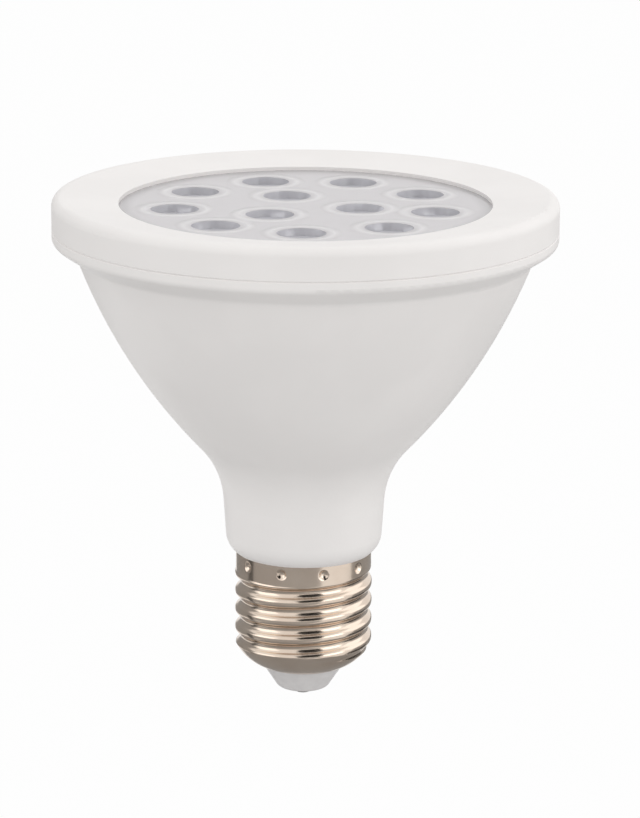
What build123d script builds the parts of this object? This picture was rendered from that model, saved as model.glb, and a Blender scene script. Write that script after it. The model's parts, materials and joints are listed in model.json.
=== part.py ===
from build123d import *
import math
import os

# LED par spotlight bulb on an Edison screw cap, standing lens up.
# Millimetres. The origin is the tip of the centre contact, and +Z runs up the lamp's axis to the lens.

# Screw cap: rolled shell, insulator and centre contact
thread_diameter = 26.2
thread_pitch = 3.629
thread_depth = 1.0
crest_land_angle = 15.0
thread_start_angle = 20.0
collar_step = 0.15
collar_height = 4.2
shell_height = 22.7
dome_height = 4.65
dome_bulge = 0.7
dome_fillet = 2.0
mouth_diameter = 15.8
sheet = 0.3
insulator_height = 4.7
insulator_foot_diameter = 9.4
insulator_fillet = 1.7
insulator_plug_height = 3.0
contact_proud = 1.1
contact_head_diameter = 4.8
contact_flat_diameter = 2.6
contact_bulge = 0.15
contact_shank_diameter = 2.4
crimp_count = 10
crimp_angle = -72.8
crimp_drop = 1.6
crimp_diameter = 1.9
crimp_depth = 0.5

# Housing: spigot in the cap, skirt, bowl and flange, moulded in one
wall = 2.0
spigot_length = 12.5
spigot_wall = 1.8
foot_overhang = 1.8
foot_rise = 1.6
foot_fillet = 4.4
skirt_height = 16.6
skirt_flare = 1.0
neck_fillet = 17.0
bowl_height = 41.0
bowl_bulge = 2.84
flange_overhang = 4.6
flange_rise = 3.05
flange_root_fillet = 2.0
flange_fillet = 1.3
lip_height = 1.95
flange_wall = 1.9
flange_floor = 1.5
seam_bevel = 0.2
boss_diameter = 6.4

# Bezel ring, snapped into the flange
rim_diameter = 95.0
bezel_height = 6.5
bezel_fillet = 1.8
bezel_dish = 1.65
bezel_width = 12.5
window_lip = 0.7
snap_wall = 1.4
snap_bead = 0.3

# Lens plate with one collimator over each light
lens_thickness = 2.0
lens_skirt = 2.0
lens_height = 9.0
lens_dish_diameter = 9.1
lens_dish_depth = 1.4
lens_dish_draft = 0.35
collimator_diameter = 13.8
collimator_foot_diameter = 6.8
collimator_bulge = 0.5
pocket_diameter = 4.8
pocket_depth = 4.0
pocket_bulge = 0.6

# Lights and their board
outer_lights = 9
outer_light_inset = 10.35
outer_light_angle = -91.7
inner_lights = 3
inner_light_circle = 20.6
inner_light_angle = -10.0
light_size = 3.0
light_height = 0.6
phosphor_diameter = 2.4
phosphor_height = 0.1
light_board_thickness = 1.5
light_board_margin = 2.0
wire_hole_diameter = 5.0

# Heat sink cup under the board, and its screws
plate_thickness = 2.0
cup_thickness = 1.2
cup_depth = 8.0
screw_count = 3
screw_offset = 5.0
screw_diameter = 2.9
screw_length = 9.0
screw_head_diameter = 5.4
screw_head_height = 1.7

# Driver board and its components
board_thickness = 1.6
board_height = 44.0
board_rib = 1.6
board_rib_depth = 1.6
bulk_capacitor_diameter = 10.0
bulk_capacitor_length = 16.0
output_capacitor_diameter = 8.0
output_capacitor_length = 12.0
capacitor_crimp = 0.5
capacitor_crimp_level = 1.5
transformer_width = 13.0
transformer_height = 12.0
transformer_depth = 11.0
yoke_height = 3.0
winding_inset = 0.8
choke_diameter = 7.0
choke_length = 8.0
choke_waist = 0.7
choke_rim = 1.6
bridge_length = 5.0
bridge_width = 4.2
bridge_height = 1.8
chip_length = 5.0
chip_width = 4.0
chip_height = 1.6
chip_chamfer = 0.4
resistor_diameter = 3.2
resistor_length = 9.0
resistor_cap = 1.6
resistor_cap_step = 0.25

# Leads
lead_diameter = 1.3
lead_pitch = 12.0
lead_overlap = 5.0
lead_bend = 4.0
lead_tail = 3.2
lead_foot = 3.9

# Clearances
press_gap = 0.1
fit_gap = 0.2
solder_gap = 0.05
row_gap = 1.2

# Levels up the axis
shell_bottom = contact_proud + insulator_height
dome_top = shell_bottom + dome_height
shell_top = shell_bottom + shell_height
collar_bottom = shell_top - collar_height
crimp_level = shell_top - crimp_drop
skirt_top = shell_top + skirt_height
bowl_top = skirt_top + bowl_height
flange_corner = bowl_top + flange_rise
seam = flange_corner + lip_height
bezel_top = seam + bezel_height
lens_top = bezel_top - bezel_dish - window_lip
lens_bottom = lens_top - lens_thickness
collimator_bottom = lens_top - lens_height
light_board_top = collimator_bottom - fit_gap
plate_top = light_board_top - light_board_thickness
plate_bottom = plate_top - plate_thickness

# Thread: round crests and roots of one radius that run into each other, with a narrow land on each crest
thread_round = ((thread_pitch / 2) ** 2 + thread_depth ** 2) / (4 * thread_depth)
land = math.radians(crest_land_angle)
blank_radius = thread_diameter / 2
crest_radius = blank_radius + thread_round * (1 - math.cos(land))
root_radius = crest_radius - thread_depth
crest_centre = crest_radius - thread_round
root_centre = root_radius + thread_round
shell_bore = root_centre - (thread_round + sheet) * math.cos(land)
collar_radius = blank_radius - collar_step
collar_bore = collar_radius - sheet
collar_step_level = crimp_level - crimp_diameter / 2 - collar_bore + shell_bore
crimp_round = ((crimp_diameter / 2) ** 2 + crimp_depth ** 2) / (2 * crimp_depth)

# Radii of the housing
rim_radius = rim_diameter / 2
foot_radius = collar_radius + foot_overhang
neck_radius = foot_radius + skirt_flare
bowl_top_radius = rim_radius - flange_overhang
flange_bore = rim_radius - flange_wall
neck_bore = foot_radius - wall
spigot_radius = collar_bore - press_gap
tail_radius = shell_bore - fit_gap
tail_bore = tail_radius - spigot_wall
tail_bottom = shell_top - spigot_length
board_seat = shell_top + wall
ledge = flange_corner - flange_wall * flange_rise / flange_overhang + flange_floor
snap_level = (ledge + seam) / 2

# Radii of the bezel and the lens
snap_radius = flange_bore - press_gap
lens_radius = snap_radius - snap_wall - fit_gap
window_radius = rim_radius - bezel_width

standing = (Align.CENTER, Align.CENTER, Align.MIN)


class Flare:
    # A side that widens upward along one arc; an inset follows it at a distance inside
    def __init__(self, low_r, low_z, high_r, high_z, bulge):
        wide = high_r - low_r
        tall = high_z - low_z
        chord = math.hypot(wide, tall)
        self.radius = (chord ** 2 / 4 + bulge ** 2) / (2 * bulge)
        reach = (self.radius - bulge) / chord
        self.centre_r = (low_r + high_r) / 2 - reach * tall
        self.centre_z = (low_z + high_z) / 2 + reach * wide

    def r(self, z, inset=0):
        return self.centre_r + math.sqrt((self.radius - inset) ** 2 - (z - self.centre_z) ** 2)

    def z(self, r, inset=0):
        return self.centre_z - math.sqrt((self.radius - inset) ** 2 - (r - self.centre_r) ** 2)

    def arc(self, z_from, z_to, inset=0):
        levels = (z_from, (z_from + z_to) / 2, z_to)
        return ThreePointArc(*[(self.r(z, inset), z) for z in levels])


bowl = Flare(neck_radius, skirt_top, bowl_top_radius, bowl_top, bowl_bulge)
dome = Flare(mouth_diameter / 2, shell_bottom, blank_radius, dome_top, dome_bulge)


def section(*lines):
    edges = [edge for line in lines for edge in line.edges()]
    return make_face(edges).face()


def closed_section(*points):
    return make_face(Polyline(*points, close=True)).face()


def corner(face, r, z):
    return face.vertices().sort_by_distance((r, z, 0))[0]


def turned(face):
    return revolve(Plane.XZ * face, Axis.Z)


def ring_places(count, circle, first_angle):
    turn = 360 / count
    return [Rot(0, 0, first_angle + turn * i) * Pos(circle / 2, 0, 0) for i in range(count)]


outer_light_circle = 2 * (window_radius - outer_light_inset)
outer_places = ring_places(outer_lights, outer_light_circle, outer_light_angle)
inner_places = ring_places(inner_lights, inner_light_circle, inner_light_angle)
light_places = outer_places + inner_places
screw_circle = outer_light_circle + 2 * screw_offset
screw_places = ring_places(screw_count, screw_circle, outer_light_angle + 180 / outer_lights)
crimp_places = ring_places(crimp_count, 2 * collar_radius, crimp_angle)


def wave_cut(middle, middle_round, side, side_round, back_r):
    # Section of one thread groove: a round in the middle that runs into half a round on each side
    out = math.copysign(1, middle - side)
    steep = math.asin(thread_pitch / 4 / thread_round)
    bend = (middle - out * middle_round * math.cos(steep), middle_round * math.sin(steep))

    def side_point(angle):
        return (side + out * side_round * math.cos(angle), thread_pitch / 2 - side_round * math.sin(angle))

    flank = side_point((steep + land / 2) / 2)
    edge = side_point(land / 2)
    half = Polyline((back_r, 0), (back_r, edge[1]), edge)
    upper = ThreePointArc(edge, flank, bend)
    low, high = (bend[0], -bend[1]), bend
    floor = ThreePointArc(high, (middle - out * middle_round, 0), low)
    return Plane.XZ * section(half, mirror(half, Plane.XZ), upper, mirror(upper, Plane.XZ), floor)


def wind(cut, top, turns):
    # Sweep a section down a right-hand helix from a level, one turn at a time
    path = Helix(pitch=thread_pitch, height=thread_pitch, radius=root_radius)
    turn = sweep(cut, path=path, is_frenet=True)
    levels = [top - thread_pitch * (i + 1) for i in range(turns)]
    return [Pos(0, 0, level) * Rot(0, 0, thread_start_angle) * turn for level in levels]


def groove_run_out(cut, top):
    # The groove leaves the shell along its tangent
    path = Helix(pitch=thread_pitch, height=thread_pitch, radius=root_radius)
    reach = 2 * math.sqrt(2 * crest_radius * thread_depth)
    tail = extrude(cut, amount=reach, dir=path % 0)
    return Pos(0, 0, top) * Rot(0, 0, thread_start_angle) * tail


def crimp_balls(extra):
    # Ball-ended punch marks round the collar, grown by an extra radius
    ball = Sphere(crimp_round + extra)
    lift = Pos(crimp_round - crimp_depth, 0, crimp_level)
    return [place * lift * ball for place in crimp_places]


def cap_shell():
    bore_bottom = dome.z(shell_bore, sheet)
    outside = Polyline(
        (blank_radius, dome_top),
        (blank_radius, collar_bottom),
        (collar_radius, collar_bottom + blank_radius - collar_radius),
        (collar_radius, shell_top),
        (collar_bore, shell_top),
        (collar_bore, collar_step_level + collar_bore - shell_bore),
        (shell_bore, collar_step_level),
        (shell_bore, bore_bottom),
    )
    edge = Line((dome.r(shell_bottom, sheet), shell_bottom), (mouth_diameter / 2, shell_bottom))
    dome_outside = dome.arc(shell_bottom, dome_top)
    dome_inside = dome.arc(shell_bottom, bore_bottom, sheet)
    blank = section(outside, dome_inside, edge, dome_outside)
    blank = blank.fillet_2d(dome_fillet, [corner(blank, blank_radius, dome_top)])
    shell = turned(blank)
    outer_cut = wave_cut(root_centre, thread_round, crest_centre, thread_round, crest_radius + thread_depth)
    inner_cut = wave_cut(
        crest_centre, thread_round - sheet, root_centre, thread_round + sheet, root_radius - thread_depth
    )
    outer_turns = math.ceil((collar_bottom - dome_top + dome_height / 2) / thread_pitch)
    for tool in wind(outer_cut, collar_bottom, outer_turns):
        shell -= tool
    shell -= groove_run_out(outer_cut, collar_bottom)
    inner_top = collar_bottom - thread_pitch / 2
    inner_turns = math.floor((inner_top - bore_bottom) / thread_pitch)
    for tool in wind(inner_cut, inner_top, inner_turns):
        shell -= tool
    # Punch marks press the collar into the spigot
    core = Cylinder(collar_radius - sheet / 2, 2 * shell_top)
    for ball in crimp_balls(sheet):
        shell += ball & core
    for ball in crimp_balls(0):
        shell -= ball
    return shell


def cap_insulator():
    top_r = mouth_diameter / 2 - press_gap
    plug_r = dome.r(shell_bottom, sheet) - press_gap
    hole_r = contact_shank_diameter / 2 + press_gap
    foot_r = insulator_foot_diameter / 2
    body = closed_section(
        (hole_r, contact_proud),
        (foot_r, contact_proud),
        (top_r, shell_bottom),
        (plug_r, shell_bottom),
        (plug_r, shell_bottom + insulator_plug_height),
        (hole_r, shell_bottom + insulator_plug_height),
    )
    body = body.fillet_2d(insulator_fillet, [corner(body, foot_r, contact_proud)])
    return turned(body)


contact_top = shell_bottom + insulator_plug_height + fit_gap


def centre_contact():
    flat = (contact_flat_diameter / 2, 0)
    rim = (contact_head_diameter / 2, contact_proud)
    shank_r = contact_shank_diameter / 2
    head = SagittaArc(flat, rim, -contact_bulge)
    shank = Polyline(rim, (shank_r, contact_proud), (shank_r, contact_top), (0, contact_top), (0, 0), flat)
    return turned(section(head, shank))


def housing():
    tail_step = collar_step_level + fit_gap
    low = Polyline(
        (0, seam),
        (0, tail_bottom),
        (tail_radius, tail_bottom),
        (tail_radius, tail_step),
        (spigot_radius, tail_step + spigot_radius - tail_radius),
        (spigot_radius, shell_top),
        (collar_radius, shell_top),
        (foot_radius, shell_top + foot_rise),
        (neck_radius, skirt_top),
    )
    high = Polyline(
        (bowl_top_radius, bowl_top),
        (rim_radius, flange_corner),
        (rim_radius, seam - seam_bevel),
        (rim_radius - seam_bevel, seam),
        (0, seam),
    )
    body = section(low, bowl.arc(skirt_top, bowl_top), high)
    body = body.fillet_2d(foot_fillet, [corner(body, foot_radius, shell_top + foot_rise)])
    body = body.fillet_2d(neck_fillet, [corner(body, neck_radius, skirt_top)])
    body = body.fillet_2d(flange_root_fillet, [corner(body, bowl_top_radius, bowl_top)])
    body = body.fillet_2d(flange_fillet, [corner(body, rim_radius, flange_corner)])
    body = turned(body)

    neck_top = bowl.z(neck_bore, wall)
    low = Polyline(
        (0, ledge),
        (0, tail_bottom),
        (tail_bore, tail_bottom),
        (tail_bore, board_seat),
        (neck_bore, board_seat),
        (neck_bore, neck_top),
    )
    high = Polyline((bowl.r(ledge, wall), ledge), (0, ledge))
    hollow = section(low, bowl.arc(neck_top, ledge, wall), high)
    hollow = hollow.fillet_2d(neck_fillet + wall, [corner(hollow, neck_bore, neck_top)])
    mouth = closed_section(
        (0, ledge),
        (flange_bore, ledge),
        (flange_bore, snap_level - 2 * snap_bead),
        (flange_bore + snap_bead, snap_level - snap_bead),
        (flange_bore + snap_bead, snap_level + snap_bead),
        (flange_bore, snap_level + 2 * snap_bead),
        (flange_bore, seam),
        (0, seam),
    )
    shell = body - turned(hollow) - turned(mouth)
    for ball in crimp_balls(sheet + press_gap):
        shell -= ball

    # Posts under the heat sink, with a hole for each screw
    post_height = plate_bottom - skirt_top
    post = Cylinder(boss_diameter / 2, post_height, align=standing)
    pilot_depth = screw_length - light_board_thickness - plate_thickness + fit_gap
    pilot = Cylinder(
        screw_diameter / 2 + press_gap, pilot_depth, align=(Align.CENTER, Align.CENTER, Align.MAX)
    )
    for place in screw_places:
        shell += (Pos(0, 0, skirt_top) * place * post) & body
    for place in screw_places:
        shell -= Pos(0, 0, plate_bottom) * place * pilot

    # Ribs that hold the driver board by its edges
    rib_height = skirt_top - board_seat
    rib = Box(
        board_rib_depth + wall / 2, board_rib, rib_height, align=(Align.MAX, Align.MIN, Align.MIN)
    )
    rib_y = board_thickness / 2 + fit_gap
    half_rib = Pos(neck_bore + wall / 2, rib_y, board_seat) * rib
    for side in (0, 180):
        shell += Rot(0, 0, side) * half_rib
        shell += Rot(0, 0, side) * mirror(half_rib, Plane.XZ)
    return shell


def bezel_ring():
    inner_r = snap_radius - snap_wall
    ring = closed_section(
        (window_radius, lens_top),
        (inner_r, lens_top),
        (inner_r, ledge + fit_gap),
        (snap_radius, ledge + fit_gap),
        (snap_radius, snap_level - snap_bead),
        (snap_radius + snap_bead, snap_level),
        (snap_radius, snap_level + snap_bead),
        (snap_radius, seam),
        (rim_radius - seam_bevel, seam),
        (rim_radius, seam + seam_bevel),
        (rim_radius, bezel_top),
        (window_radius, lens_top + window_lip),
    )
    return turned(ring.fillet_2d(bezel_fillet, [corner(ring, rim_radius, bezel_top)]))


def lens_plate():
    plate = turned(closed_section(
        (0, lens_bottom),
        (lens_radius - lens_skirt, lens_bottom),
        (lens_radius - lens_skirt, ledge),
        (lens_radius, ledge),
        (lens_radius, lens_top),
        (0, lens_top),
    ))
    foot_r = collimator_foot_diameter / 2
    top_r = collimator_diameter / 2
    base = Polyline(
        (top_r, lens_bottom), (0, lens_bottom), (0, collimator_bottom), (foot_r, collimator_bottom)
    )
    side = SagittaArc((foot_r, collimator_bottom), (top_r, lens_bottom), -collimator_bulge)
    cup = turned(section(base, side))

    pocket_r = pocket_diameter / 2
    pocket_top = collimator_bottom + pocket_depth
    ceiling = ThreePointArc((-pocket_r, pocket_top), (0, pocket_top - pocket_bulge), (pocket_r, pocket_top))
    ceiling = ceiling.trim(0.5, 1)
    walls = Polyline(
        (pocket_r, pocket_top), (pocket_r, collimator_bottom), (0, collimator_bottom), ceiling @ 0
    )
    pocket = turned(section(ceiling, walls))

    dish_r = lens_dish_diameter / 2
    dish = turned(closed_section(
        (0, lens_top - lens_dish_depth),
        (dish_r - lens_dish_draft, lens_top - lens_dish_depth),
        (dish_r, lens_top),
        (0, lens_top),
    ))
    for place in light_places:
        plate += place * cup
    for place in light_places:
        plate -= place * pocket
        plate -= place * dish
    return plate


def screw_holes(z_low, z_high):
    hole_r = screw_diameter / 2 + fit_gap
    hole = Cylinder(hole_r, z_high - z_low, align=standing)
    return [Pos(0, 0, z_low) * place * hole for place in screw_places]


def wire_hole(z_low, z_high):
    hole_r = wire_hole_diameter / 2
    hole = Cylinder(hole_r, z_high - z_low, align=standing)
    return Pos(0, 0, z_low) * hole


cup_outside = wall + fit_gap
cup_inside = cup_outside + cup_thickness
cup_bottom = plate_bottom - cup_depth
light_board_radius = bowl.r(plate_bottom, cup_inside) - light_board_margin


def heat_sink():
    rim = Polyline(
        (bowl.r(plate_top, cup_outside), plate_top),
        (0, plate_top),
        (0, plate_bottom),
        (bowl.r(plate_bottom, cup_inside), plate_bottom),
    )
    edge = Polyline(
        (bowl.r(cup_bottom, cup_inside), cup_bottom),
        (bowl.r(cup_bottom, cup_outside), cup_bottom),
    )
    outside = bowl.arc(cup_bottom, plate_top, cup_outside)
    inside = bowl.arc(cup_bottom, plate_bottom, cup_inside)
    cup = turned(section(rim, inside, edge, outside))
    for hole in screw_holes(plate_bottom, plate_top):
        cup -= hole
    return cup - wire_hole(plate_bottom, plate_top)


def led_board():
    disc = Cylinder(light_board_radius, light_board_thickness, align=standing)
    disc = Pos(0, 0, plate_top) * disc
    for hole in screw_holes(plate_top, light_board_top):
        disc -= hole
    return disc - wire_hole(plate_top, light_board_top)


def light():
    package = Box(light_size, light_size, light_height, align=standing)
    phosphor = Pos(0, 0, light_height) * Cylinder(phosphor_diameter / 2, phosphor_height, align=standing)
    return package + phosphor


def board_screws():
    head_r = screw_head_diameter / 2
    shank_r = screw_diameter / 2
    screw = turned(closed_section(
        (0, -screw_length),
        (shank_r / 2, -screw_length),
        (shank_r, shank_r - screw_length),
        (shank_r, 0),
        (head_r, 0),
        (head_r, screw_head_height / 2),
        (head_r - screw_head_height / 2, screw_head_height),
        (0, screw_head_height),
    ))
    return [Pos(0, 0, light_board_top) * place * screw for place in screw_places]


# The driver board stands on the step in the neck, on the plane through the axis
board_width = 2 * (neck_bore - 2 * fit_gap)
board_top = board_seat + board_height
face_y = board_thickness / 2 + solder_gap


def on_board(x, z, solid, side=1):
    # Stand a solid, made along +Z, on the back of the board, or on its front with side -1
    return Pos(x, side * face_y, z) * Rot(-90 * side, 0, 0) * solid


def driver_board():
    return Pos(0, 0, board_seat) * Box(board_width, board_thickness, board_height, align=standing)


def capacitor(diameter, length):
    radius = diameter / 2
    return turned(closed_section(
        (0, 0),
        (radius, 0),
        (radius, capacitor_crimp_level - capacitor_crimp),
        (radius - capacitor_crimp, capacitor_crimp_level),
        (radius, capacitor_crimp_level + capacitor_crimp),
        (radius, length - capacitor_crimp),
        (radius - capacitor_crimp, length),
        (0, length),
    ))


def transformer():
    yoke = Box(transformer_width, yoke_height, transformer_depth, align=standing)
    shift = (transformer_height - yoke_height) / 2
    coil_r = transformer_depth / 2 - winding_inset
    coil = Rot(90, 0, 0) * Cylinder(coil_r, transformer_height - yoke_height)
    core = Pos(0, shift, 0) * yoke
    core += Pos(0, -shift, 0) * yoke
    return core + Pos(0, 0, transformer_depth / 2) * coil


def choke():
    radius = choke_diameter / 2
    return turned(closed_section(
        (0, 0),
        (radius, 0),
        (radius, choke_rim),
        (radius - choke_waist, choke_rim),
        (radius - choke_waist, choke_length - choke_rim),
        (radius, choke_length - choke_rim),
        (radius, choke_length),
        (0, choke_length),
    ))


def resistor():
    radius = resistor_diameter / 2
    body_r = radius - resistor_cap_step
    body = closed_section(
        (0, 0),
        (radius, 0),
        (radius, resistor_cap),
        (body_r, resistor_cap),
        (body_r, resistor_length - resistor_cap),
        (radius, resistor_length - resistor_cap),
        (radius, resistor_length),
        (0, resistor_length),
    )
    return Pos(0, -resistor_length / 2, radius) * Rot(-90, 0, 0) * turned(body)


def chip(length, width, height):
    body = Box(width, length, height, align=standing)
    return chamfer(body.faces().sort_by(Axis.Z)[-1].edges(), chip_chamfer)


def lead(points, radius):
    path = FilletPolyline(*points, radius=radius)
    end = Plane(origin=path @ 0, z_dir=path % 0)
    return sweep(end * Circle(lead_diameter / 2), path=path)


lead_r = lead_diameter / 2
lead_y = -(board_thickness / 2 + lead_r + solder_gap)
lead_high = board_seat + lead_overlap


def cap_lead(side, end):
    # From the driver board's foot down the spigot to its place in the cap
    x = side * lead_pitch / 2
    turn_z = (board_seat + tail_bottom) / 2
    return [(x, lead_y, lead_high), (x, lead_y, turn_z), end]


def light_lead(side):
    # From the driver board's top through the middle of the heat sink, and over onto the light board
    x = side * lead_pitch / 2
    hole_x = side * (lead_r + fit_gap)
    pad_z = light_board_top + lead_r + solder_gap
    pad_x = hole_x + side * lead_tail
    slant = (plate_bottom - board_top) / 3
    return lead(
        [
            (x, lead_y, board_top - lead_overlap),
            (x, lead_y, board_top + slant),
            (hole_x, 0, plate_bottom - slant),
            (hole_x, 0, pad_z),
            (pad_x, 0, pad_z),
        ],
        [slant, slant, lead_diameter],
    )


def lead_live():
    points = cap_lead(-1, (0, 0, contact_top + lead_foot))
    return lead(points + [(0, 0, contact_top + solder_gap)], [lead_bend, lead_bend / 2])


def lead_neutral():
    end_z = shell_bottom + insulator_plug_height + lead_diameter
    inside = min(dome.r(end_z, sheet), shell_bore) - fit_gap
    end_x = math.sqrt((inside - lead_diameter) ** 2 - lead_y ** 2)
    return lead(cap_lead(1, (end_x, lead_y, end_z)), [lead_bend])


nodes = {
    "cap_shell": cap_shell(),
    "cap_insulator": cap_insulator(),
    "centre_contact": centre_contact(),
    "housing": housing(),
    "bezel_ring": bezel_ring(),
    "lens_plate": lens_plate(),
    "heat_sink": heat_sink(),
    "led_board": led_board(),
    "board_screws": Compound(board_screws()),
    "driver_board": driver_board(),
    "lead_live": lead_live(),
    "lead_neutral": lead_neutral(),
    "lead_positive": light_lead(1),
    "lead_negative": light_lead(-1),
}

for number, place in enumerate(light_places, 1):
    nodes[f"led_{number:02d}"] = Pos(0, 0, light_board_top) * place * light()

# Components in rows up the driver board
neck_row = (board_seat + skirt_top) / 2
high_row = board_top - bulk_capacitor_diameter / 2 - fit_gap
low_row = high_row - (bulk_capacitor_diameter + transformer_height) / 2 - row_gap
nodes["fusible_resistor"] = on_board(0, neck_row, resistor())
nodes["bridge_rectifier"] = on_board(0, neck_row, chip(bridge_length, bridge_width, bridge_height), -1)
nodes["transformer"] = on_board(0, low_row, transformer())
nodes["driver_chip"] = on_board(0, low_row, chip(chip_length, chip_width, chip_height), -1)
bulk = capacitor(bulk_capacitor_diameter, bulk_capacitor_length)
nodes["bulk_capacitor"] = on_board(-bulk_capacitor_diameter / 2 - fit_gap, high_row, bulk)
smoothing = capacitor(output_capacitor_diameter, output_capacitor_length)
nodes["output_capacitor"] = on_board(output_capacitor_diameter / 2 + fit_gap, high_row, smoothing)
nodes["choke"] = on_board(0, high_row, choke(), -1)

os.makedirs("parts", exist_ok=True)
for name, solid in nodes.items():
    export_step(solid, f"parts/{name}.step")
    print(name, round(solid.volume, 1))
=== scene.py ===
import json
import math
import bmesh
import bpy
from mathutils import Matrix, Vector


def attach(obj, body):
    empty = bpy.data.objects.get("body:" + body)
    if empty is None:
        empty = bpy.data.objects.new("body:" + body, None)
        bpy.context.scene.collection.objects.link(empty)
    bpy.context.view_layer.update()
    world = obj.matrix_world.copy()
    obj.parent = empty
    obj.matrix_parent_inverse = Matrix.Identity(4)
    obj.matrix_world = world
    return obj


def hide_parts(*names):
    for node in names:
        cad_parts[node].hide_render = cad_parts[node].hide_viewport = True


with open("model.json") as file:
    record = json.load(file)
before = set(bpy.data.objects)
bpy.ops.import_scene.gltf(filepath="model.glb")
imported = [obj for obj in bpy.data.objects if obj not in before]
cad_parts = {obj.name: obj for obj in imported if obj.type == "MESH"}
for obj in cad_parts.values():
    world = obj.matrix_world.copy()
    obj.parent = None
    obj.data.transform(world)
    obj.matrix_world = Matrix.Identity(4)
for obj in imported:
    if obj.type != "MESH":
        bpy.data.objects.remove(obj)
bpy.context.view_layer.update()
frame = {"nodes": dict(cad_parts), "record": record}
nodes = frame["nodes"]
print("frame loaded,", len(nodes), "nodes")

noiseMiddle = 0.5  # noise swings about this value


class Wire:
    # one output socket of a node tree, so that shader maths reads as maths
    def __init__(self, tree, socket=None):
        self.tree = tree
        self.socket = socket

    def node(self, kind, settings=None, sockets=None, output=0):
        made = self.tree.nodes.new(kind)
        for key, value in (settings or {}).items():
            setattr(made, key, value)
        for key, value in (sockets or {}).items():
            if isinstance(value, Wire):
                self.tree.links.new(value.socket, made.inputs[key])
            else:
                made.inputs[key].default_value = value
        return Wire(self.tree, made.outputs[output] if made.outputs else None)

    def combine(self, operation, first, second):
        return self.node("ShaderNodeMath", {"operation": operation}, {0: first, 1: second})

    def __add__(self, other):
        return self.combine("ADD", self, other)

    def __radd__(self, other):
        return self.combine("ADD", other, self)

    def __sub__(self, other):
        return self.combine("SUBTRACT", self, other)

    def __rsub__(self, other):
        return self.combine("SUBTRACT", other, self)

    def __mul__(self, other):
        return self.combine("MULTIPLY", self, other)

    def __rmul__(self, other):
        return self.combine("MULTIPLY", other, self)

    def between(self, low, high, fromValue=0.0, toValue=1.0):
        # smooth step from one value to another as this one goes from low to high
        return self.node("ShaderNodeMapRange", {"interpolation_type": "SMOOTHSTEP"}, {
            "Value": self,
            "From Min": low,
            "From Max": high,
            "To Min": fromValue,
            "To Max": toValue,
        })

    def mixColour(self, first, second):
        # this value mixes two colours, which are sockets 6 and 7 and output 2 of the node
        return self.node("ShaderNodeMix", {"data_type": "RGBA"}, {0: self, 6: first, 7: second}, 2)


def emptyTree(tree):
    tree.nodes.clear()
    return Wire(tree)


def colour(red, green, blue):
    # a colour as read off the photograph, 0 to 255, taken back through the sRGB curve
    def level(value):
        part = value / 255
        return part / 12.92 if part <= 0.04045 else ((part + 0.055) / 1.055) ** 2.4
    return (level(red), level(green), level(blue), 1.0)


def grey(level):
    return (level, level, level, 1.0)


def newFinish(name, build):
    material = bpy.data.materials.new(name)
    material.use_nodes = True
    start = emptyTree(material.node_tree)
    start.node("ShaderNodeOutputMaterial", {}, {"Surface": build(start)})
    return material


def addToScene(thing):
    bpy.context.scene.collection.objects.link(thing)


def boxCorners(thing):
    return [thing.matrix_world @ Vector(corner) for corner in thing.bound_box]


def boxCentre(thing):
    corners = boxCorners(thing)
    return sum(corners, Vector()) / len(corners)


def boxHeights(thing):
    heights = [corner.z for corner in boxCorners(thing)]
    return min(heights), max(heights)


def place(start):
    return start.node("ShaderNodeTexCoord", {}, {}, "Object")


def distance(across, along):
    return across.combine("POWER", across * across + along * along, 0.5)


def speckle(start, size, detail=2.0, spot=None):
    sockets = {"Vector": spot or place(start), "Scale": 1 / size, "Detail": detail}
    return start.node("ShaderNodeTexNoise", {}, sockets)


def bumped(start, height, strength, depth):
    return start.node("ShaderNodeBump", {}, {"Height": height, "Strength": strength, "Distance": depth})


plasticLook = {
    "colour": colour(237, 234, 232),
    "shade": colour(234, 231, 229),
    "roughness": 0.42,
    "gloss": 0.2,
    "ior": 1.46,
    "grain": 0.0006,
    "grainRoughness": 0.08,
    "grainBump": 0.12,
    "grainHeight": 0.00008,
    "patch": 0.02,
    "patchDetail": 3.0,
    "patchEdges": (0.35, 0.65),
    "patchRoughness": 0.06,
}


def whitePlastic(start):
    # moulded grain over faint broad patches
    look = plasticLook
    grain = speckle(start, look["grain"])
    patch = speckle(start, look["patch"], look["patchDetail"])
    roughness = look["roughness"] + look["grainRoughness"] * (grain - noiseMiddle)
    return start.node("ShaderNodeBsdfPrincipled", {}, {
        "Base Color": patch.between(*look["patchEdges"]).mixColour(look["shade"], look["colour"]),
        "Roughness": roughness + look["patchRoughness"] * (patch - noiseMiddle),
        "IOR": look["ior"],
        "Specular IOR Level": look["gloss"],
        "Normal": bumped(start, grain, look["grainBump"], look["grainHeight"]),
    })


acrylicLook = {
    "clear": colour(246, 246, 250),
    "frost": colour(222, 218, 220),
    "dish": colour(231, 230, 236),
    "ringHighlight": colour(232, 229, 230),
    "ior": 1.49,
    "roughness": 0.10,
    "frostRoughness": 0.3,
    "frostVaries": 0.08,
    "faceHaze": 0.69,
    "marginShadeHaze": 0.50,
    "ringHighlightHaze": 0.76,
    "dishHaze": 0.58,
    "faceStart": 0.00012,  # depths below the face where its haze starts and is full
    "faceFull": 0.00004,
    "dishRadius": 0.00455,
    "dishDepth": 0.0014,
    "dishStart": 0.0002,  # the same below the floor of a dish
    "dishFull": 0.0001,
    "ringPeak": 0.0060,
    "ringRadius": 0.0078,
    "ringBump": 1.0,
    "ringHeight": 0.0004,
    "window": 0.035,
    "marginWidth": 0.0035,
    "ripple": 0.004,
    "rippleRoughness": 0.05,
    "rippleBump": 0.05,
    "rippleHeight": 0.0003,
}


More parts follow.
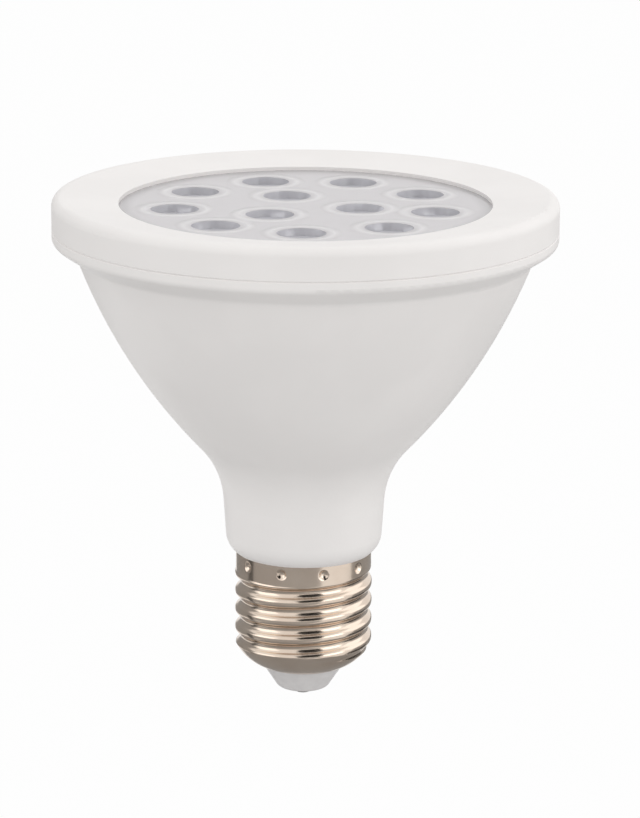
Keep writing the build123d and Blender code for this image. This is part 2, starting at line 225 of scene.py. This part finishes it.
def clearAcrylic(start):
    # frosted face, a soft lighter rim round each clearer dish over a light, all clear below; the rim's
    # lighter colour and extra frost are a painted highlight, its bump is real
    look = acrylicLook
    spot = place(start)
    x, y, z = (start.node("ShaderNodeSeparateXYZ", {}, {0: spot}, axis) for axis in range(3))
    ring = 0.0
    for name in sorted(nodes):
        if name.startswith("led_") and name != "led_board":
            centre = boxCentre(nodes[name])
            reach = distance(x - centre.x, y - centre.y)
            rise = reach.between(look["dishRadius"], look["ringPeak"])
            ring = ring + rise * reach.between(look["ringPeak"], look["ringRadius"], 1.0, 0.0)
    top = boxHeights(nodes["lens_plate"])[1]
    face = z.between(top - look["faceStart"], top - look["faceFull"])
    dishFloor = top - look["dishDepth"]
    frosted = z.between(dishFloor - look["dishStart"], dishFloor - look["dishFull"])
    # less frost towards the window's edge darkens the margin, a painted shade for the bezel lip's shadow on
    # the plate
    marginStart = look["window"] - look["marginWidth"]
    faceHaze = distance(x, y).between(marginStart, look["window"], look["faceHaze"], look["marginShadeHaze"])
    # more frost on the rim round each dish, part of its painted highlight
    faceHaze = faceHaze + (look["ringHighlightHaze"] - faceHaze) * ring
    haze = frosted * (look["dishHaze"] + (faceHaze - look["dishHaze"]) * face)
    ripple = speckle(start, look["ripple"])
    clear = start.node("ShaderNodeBsdfPrincipled", {}, {
        "Base Color": look["clear"],
        "Roughness": look["roughness"] + look["rippleRoughness"] * ripple,
        "IOR": look["ior"],
        "Transmission Weight": 1.0,
        "Normal": bumped(start, ripple, look["rippleBump"], look["rippleHeight"]),
    })
    frost = start.node("ShaderNodeBsdfPrincipled", {}, {
        # the rim round each dish takes a lighter colour, a painted highlight
        "Base Color": face.mixColour(look["dish"], ring.mixColour(look["frost"], look["ringHighlight"])),
        "Roughness": look["frostRoughness"] + look["frostVaries"] * ripple,
        "IOR": look["ior"],
        "Normal": bumped(start, ring, look["ringBump"], look["ringHeight"]),
    })
    return start.node("ShaderNodeMixShader", {}, {0: haze, 1: clear, 2: frost})


nickelLook = {
    "colour": (0.77, 0.655, 0.55, 1.0),
    "dull": (0.71, 0.59, 0.49, 1.0),
    "roughness": 0.14,
    "streak": 0.0015,
    "streakSquash": (1.0, 1.0, 6.0),
    "streakDetail": 4.0,
    "streakRoughness": 0.08,
    "streakBump": 0.05,
    "streakHeight": 0.00005,
    "cloud": 0.006,
    "cloudEdges": (0.3, 0.7),
    "cloudRoughness": 0.06,
}


def nickelPlate(start):
    # drawing streaks round the shell, and clouds of duller plate
    look = nickelLook
    drawn = start.node("ShaderNodeMapping", {}, {"Vector": place(start), "Scale": look["streakSquash"]})
    streak = speckle(start, look["streak"], look["streakDetail"], drawn)
    cloud = speckle(start, look["cloud"])
    roughness = look["roughness"] + look["streakRoughness"] * (streak - noiseMiddle)
    return start.node("ShaderNodeBsdfPrincipled", {}, {
        "Base Color": cloud.between(*look["cloudEdges"]).mixColour(look["dull"], look["colour"]),
        "Metallic": 1.0,
        "Roughness": roughness + look["cloudRoughness"] * cloud,
        "Normal": bumped(start, streak, look["streakBump"], look["streakHeight"]),
    })


mottleLook = {
    "detail": 3.0,
    "edges": (0.35, 0.65),
    "roughness": 0.12,
    "bump": 0.2,
    "height": 0.0001,
}


def plainFinish(first, second, roughness, size, metallic=0.0):
    # two close tones in a fine mottle, with a matching grain
    def build(start):
        look = mottleLook
        mottle = speckle(start, size, look["detail"])
        return start.node("ShaderNodeBsdfPrincipled", {}, {
            "Base Color": mottle.between(*look["edges"]).mixColour(colour(*first), colour(*second)),
            "Metallic": metallic,
            "Roughness": roughness + look["roughness"] * (mottle - noiseMiddle),
            "Normal": bumped(start, mottle, look["bump"], look["height"]),
        })
    return build


finishes = {
    "white_plastic": whitePlastic,
    "clear_acrylic": clearAcrylic,
    "nickel_plate": nickelPlate,
    "insulator_white": plainFinish((211, 208, 207), (217, 214, 213), roughness=0.38, size=0.002),
    "contact_metal": plainFinish((176, 173, 170), (196, 193, 189), roughness=0.36, size=0.0008, metallic=1.0),
    "aluminium": plainFinish((214, 216, 219), (226, 228, 231), roughness=0.34, size=0.0012, metallic=1.0),
    "white_mask": plainFinish((232, 232, 231), (241, 241, 240), roughness=0.45, size=0.0015),
    "light_package": plainFinish((238, 226, 160), (230, 214, 132), roughness=0.4, size=0.0004),
    "steel": plainFinish((168, 169, 172), (188, 189, 192), roughness=0.3, size=0.0006, metallic=1.0),
    "circuit_board": plainFinish((28, 92, 48), (38, 108, 58), roughness=0.42, size=0.001),
    "capacitor_sleeve": plainFinish((18, 18, 22), (30, 30, 36), roughness=0.32, size=0.0012),
    "ferrite": plainFinish((44, 44, 48), (62, 61, 64), roughness=0.6, size=0.0008),
    "black_moulding": plainFinish((20, 20, 21), (30, 30, 31), roughness=0.55, size=0.0005),
    "resistor_coat": plainFinish((120, 158, 176), (136, 172, 188), roughness=0.4, size=0.0008),
    "red_lead": plainFinish((176, 30, 26), (190, 40, 34), roughness=0.4, size=0.001),
    "black_lead": plainFinish((20, 20, 20), (34, 34, 34), roughness=0.4, size=0.001),
}
materials = {name: newFinish(name, build) for name, build in finishes.items()}
for part in frame["record"]["subparts"]:
    node = nodes[part["node"]]
    node.data.materials.clear()
    node.data.materials.append(materials[part["material_slot"]])
print("finishes made,", len(materials))


capBottom, capTop = boxHeights(nodes["cap_shell"])
capShape = {
    "bottom": capBottom,
    "top": capTop,
    "sheet": 0.0003,
    "radius": 0.0131,
    "mouth": 0.0079,
    "domeTop": capBottom + 0.00465,
    "domeBulge": 0.0007,
    "domeSoft": 0.0002,
    "collarBottom": capTop - 0.0042,
    "collarRadius": 0.01295,
    "collarFade": 0.0002,  # the step in to the collar is over this far above its bottom
    "pitch": 0.003629,
    "depth": 0.001,
    "land": 15.0,
    "startAngle": 20.0,
    "turns": 5,
    "runOut": 46.0,  # degrees past the thread's start, where its groove is well off the shell
    "threadSoft": 0.00008,
    "marks": 10,
    "markAngle": -72.8,
    "markLevel": capTop - 0.0016,
    "markWidth": 0.0019,
    "markDepth": 0.0005,
    "markSoft": 0.0002,
    "around": 480,
    "rows": (18, 138, 30),  # up the dome, the thread and the collar
    "markRow": 0.0004,  # spacing of the rows behind the marks
    "collarRise": 0.0008,  # lowest of the collar's rows inside
    "domeRows": (0.0034, 0.0021, 0.0009),  # heights of the dome's rows inside
}


def softLeast(first, second, blend):
    # the lesser of two lengths, rounded off where they meet
    overlap = max(blend - abs(first - second), 0.0) / blend
    return min(first, second) - overlap * overlap * blend / 4


def domeRadius(z, inset=0.0):
    # an arc from the mouth up to the thread, less any inset
    shape = capShape
    wide = shape["radius"] - shape["mouth"]
    tall = shape["domeTop"] - shape["bottom"]
    chord = math.hypot(wide, tall)
    bend = (chord ** 2 / 4 + shape["domeBulge"] ** 2) / (2 * shape["domeBulge"])
    reach = (bend - shape["domeBulge"]) / chord
    centreR = (shape["radius"] + shape["mouth"]) / 2 - reach * tall
    centreZ = (shape["domeTop"] + shape["bottom"]) / 2 + reach * wide
    return centreR + math.sqrt(max((bend - inset) ** 2 - min(z - centreZ, 0.0) ** 2, 0.0))


def grooveRadius(offset):
    # rounds of one radius at root and crest that run into each other
    shape = capShape
    pitch, depth = shape["pitch"], shape["depth"]
    bend = ((pitch / 2) ** 2 + depth ** 2) / (4 * depth)
    crest = shape["radius"] + bend * (1 - math.cos(math.radians(shape["land"])))
    offset = abs(offset)
    if offset < pitch / 4:
        return crest - depth + bend - math.sqrt(bend ** 2 - offset ** 2)
    if offset < pitch / 2:
        return crest - bend + math.sqrt(bend ** 2 - (pitch / 2 - offset) ** 2)
    return crest


def markRadius(side, rise):
    # radius of a ball-ended punch mark, and past the collar's beside it
    shape = capShape
    half, depth = shape["markWidth"] / 2, shape["markDepth"]
    ball = (half ** 2 + depth ** 2) / (2 * depth)
    centre = shape["collarRadius"] + ball - depth
    inside = ball ** 2 - rise ** 2 - (centre * math.sin(side)) ** 2
    if inside <= 0:
        return shape["collarRadius"] + depth
    return centre * math.cos(side) - math.sqrt(inside)


def shellRadius(angle, z):
    shape = capShape
    step = shape["radius"] - shape["collarRadius"]
    fade = min(max((z - shape["collarBottom"]) / step, 0.0), 1.0)
    side = shape["radius"] - step * fade * fade * (3 - 2 * fade)
    r = softLeast(domeRadius(z), side, shape["domeSoft"])
    turn = ((angle - shape["startAngle"]) / 360) % 1
    for number in range(-1, shape["turns"]):
        offset = z - shape["collarBottom"] + shape["pitch"] * (number + 1 - turn)
        # above its first turn the groove leaves the shell along its tangent
        leaving = turn * 360 if number < 0 else 0.0
        if abs(offset) < shape["pitch"] / 2 and leaving < shape["runOut"]:
            groove = grooveRadius(offset) / math.cos(math.radians(leaving))
            r = softLeast(r, groove, shape["threadSoft"])
    rise = z - shape["markLevel"]
    if abs(rise) < shape["markWidth"]:
        gap = 360 / shape["marks"]
        aside = (angle - shape["markAngle"] + gap / 2) % gap - gap / 2
        r = softLeast(r, markRadius(math.radians(aside), rise), shape["markSoft"])
    return r


def shellRows(angles):
    # heights with the radii round them, up the outside and down the inside
    shape = capShape
    bottom, top, sheet = shape["bottom"], shape["top"], shape["sheet"]
    stops = (bottom, shape["domeTop"], shape["collarBottom"] + shape["collarFade"], top)
    outside = [bottom]
    for low, high, count in zip(stops, stops[1:], shape["rows"]):
        outside += [low + (high - low) * (i + 1) / count for i in range(count)]
    behindMarks = [shape["markLevel"] + shape["markRow"] * i for i in (2, 1, 0, -1, -2)]
    collar = [top, *behindMarks, shape["collarBottom"] + shape["collarRise"]]
    bore = shape["radius"] - shape["depth"] - sheet
    below = [shape["collarBottom"], *(bottom + rise for rise in shape["domeRows"]), bottom]
    rows = [(z, [shellRadius(angle, z) for angle in angles]) for z in outside]
    rows += [(z, [shellRadius(angle, z) - sheet for angle in angles]) for z in collar]
    rows += [(z, [min(bore, domeRadius(z, sheet))] * len(angles)) for z in below]
    return rows, len(outside)


def rolledShell():
    # the screw cap's rolled sheet, smooth over crests, roots and punch marks
    around = capShape["around"]
    angles = [360 * i / around for i in range(around)]
    rows, outsideCount = shellRows(angles)
    mesh = bmesh.new()
    rings = []
    for z, radii in rows:
        ring = []
        for angle, r in zip(angles, radii):
            turn = math.radians(angle)
            ring.append(mesh.verts.new((r * math.cos(turn), r * math.sin(turn), z)))
        rings.append(ring)
    steps = [(i, (i + 1) % around) for i in range(around)]
    for low, high in zip(rings, rings[1:] + rings[:1]):
        for here, after in steps:
            face = mesh.faces.new((low[here], low[after], high[after], high[here]))
            face.smooth = True
    # the sheet's cut edges stay sharp
    for ring in (rings[0], rings[outsideCount - 1], rings[outsideCount], rings[-1]):
        for here, after in steps:
            mesh.edges.get((ring[here], ring[after])).smooth = False
    data = bpy.data.meshes.new("rolledShell")
    mesh.to_mesh(data)
    mesh.free()
    data.materials.append(materials["nickel_plate"])
    shell = bpy.data.objects.new("rolledShell", data)
    addToScene(shell)
    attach(shell, "root")
    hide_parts("cap_shell")
    return shell


shell = rolledShell()
print("cap rolled,", len(shell.data.polygons), "faces")


studio = {
    "ambient": 0.93,
    "floorShade": 0.62,
    "floorWhite": 0.97,
    "floorLevel": -0.25,
    "floorReach": 8.0,
    "aim": (0.0, 0.0, 0.06),
    "lamps": {
        "front": {"place": (0.95, -0.8, 0.4), "size": 0.9, "power": 2.6},
        "side": {"place": (0.95, 0.25, 0.6), "size": 0.9, "power": 1.2},
        "left": {"place": (-1.1, -0.4, 0.3), "size": 0.9, "power": 1.6},
        "top": {"place": (0.05, 0.1, 1.5), "size": 1.2, "power": 0.3},
    },
    # plain matte cards for the nickel to mirror, left out of soft light and shadows
    "cards": {
        "frontCard": {"place": (0.19, -1.0, 0.62), "size": (0.86, 1.2), "shade": 0.03},
        "overCard": {"place": (0.08, -0.3, 1.15), "size": (0.5, 1.0), "shade": 0.03},
        "lowCard": {"place": (-0.218, -0.30, -0.13), "size": (1.5, 0.245), "shade": 0.44},
        "underCard": {"place": (0.0, 0.0, -0.12), "size": (0.4, 0.4), "shade": 0.30},
        "leftCard": {"place": (-0.46, 0.385, 0.1), "size": (0.75, 0.65), "shade": 0.36},
        "leftEdge": {"place": (-0.37, 0.065, -0.11), "size": (0.085, 0.3), "shade": 0.10},
        "rightCard": {"place": (0.347, 0.262, -0.096), "size": (0.68, 0.22), "shade": 0.38},
        "rightEdge": {"place": (0.257, 0.074, -0.116), "size": (0.267, 0.079), "shade": 0.06},
    },
}


def seenRay(start):
    # rays that see the background, straight, in a gloss or through the lens
    camera = start.node("ShaderNodeLightPath", {}, {}, "Is Camera Ray")
    glossy = start.node("ShaderNodeLightPath", {}, {}, "Is Glossy Ray")
    through = start.node("ShaderNodeLightPath", {}, {}, "Is Transmission Ray")
    return start.combine("MAXIMUM", start.combine("MAXIMUM", camera, glossy), through)


def studioWorld(start):
    lit = start.node("ShaderNodeBackground", {}, {"Color": grey(1.0), "Strength": studio["ambient"]})
    white = start.node("ShaderNodeBackground", {}, {"Color": grey(1.0), "Strength": 1.0})
    return start.node("ShaderNodeMixShader", {}, {0: seenRay(start), 1: lit, 2: white})


def floorFinish(start):
    # a little of the matte shows through, so that a shadow stays on it
    matte = start.node("ShaderNodeBsdfDiffuse", {}, {"Color": grey(studio["floorShade"])})
    white = start.node("ShaderNodeEmission", {}, {"Color": grey(1.0), "Strength": 1.0})
    share = studio["floorWhite"] * seenRay(start)
    return start.node("ShaderNodeMixShader", {}, {0: share, 1: matte, 2: white})


def cardFinish(shade):
    def build(start):
        return start.node("ShaderNodeBsdfDiffuse", {}, {"Color": grey(shade)})
    return build


def flatSheet(name, width, height, finish):
    mesh = bpy.data.meshes.new(name)
    x, y = width / 2, height / 2
    mesh.from_pydata([(-x, -y, 0), (x, -y, 0), (x, y, 0), (-x, y, 0)], [], [(0, 1, 2, 3)])
    mesh.materials.append(newFinish(name + "Finish", finish))
    flat = bpy.data.objects.new(name, mesh)
    addToScene(flat)
    return flat


def standFacing(thing, spot, axis):
    # at its spot, with this axis turned to the part
    thing.location = spot
    aim = Vector(studio["aim"]) - thing.location
    thing.rotation_euler = aim.to_track_quat(axis, "Y").to_euler()


def buildStudio():
    world = bpy.data.worlds.new("studioWorld")
    world.use_nodes = True
    start = emptyTree(world.node_tree)
    start.node("ShaderNodeOutputWorld", {}, {"Surface": studioWorld(start)})
    bpy.context.scene.world = world

    floorWidth = 2 * studio["floorReach"]
    floor = flatSheet("floor", floorWidth, floorWidth, floorFinish)
    floor.location.z = studio["floorLevel"]
    for name, card in studio["cards"].items():
        stand = flatSheet(name, *card["size"], cardFinish(card["shade"]))
        standFacing(stand, card["place"], "Z")
        stand.visible_camera = False
        stand.visible_diffuse = False
        stand.visible_shadow = False
    for name, lamp in studio["lamps"].items():
        light = bpy.data.lights.new(name, "AREA")
        light.energy = lamp["power"]
        light.size = lamp["size"]
        stand = bpy.data.objects.new(name, light)
        standFacing(stand, lamp["place"], "-Z")
        addToScene(stand)


buildStudio()
print("studio built")


cameraSetup = {
    "target": (0.0, 0.0, 0.05605),
    "distance": 0.750,
    "elevation": 14.42,
    "lens": 174.2,
    "sensor": 36.0,
    "shiftX": 0.019,
    "roll": 0.33,
    "nearest": 0.01,
}


def buildCamera():
    setup = cameraSetup
    data = bpy.data.cameras.new("camera")
    data.lens = setup["lens"]
    data.sensor_width = setup["sensor"]
    data.shift_x = setup["shiftX"]
    data.clip_start = setup["nearest"]
    camera = bpy.data.objects.new("camera", data)
    lift = math.radians(setup["elevation"])
    back = Vector((0, -math.cos(lift), math.sin(lift)))
    camera.location = Vector(setup["target"]) + back * setup["distance"]
    aim = (-back).to_track_quat("-Z", "Y").to_matrix()
    camera.rotation_euler = (aim @ Matrix.Rotation(math.radians(setup["roll"]), 3, "Z")).to_euler()
    addToScene(camera)
    bpy.context.scene.camera = camera


buildCamera()
bpy.context.scene.view_settings.view_transform = "Standard"
print("camera set")
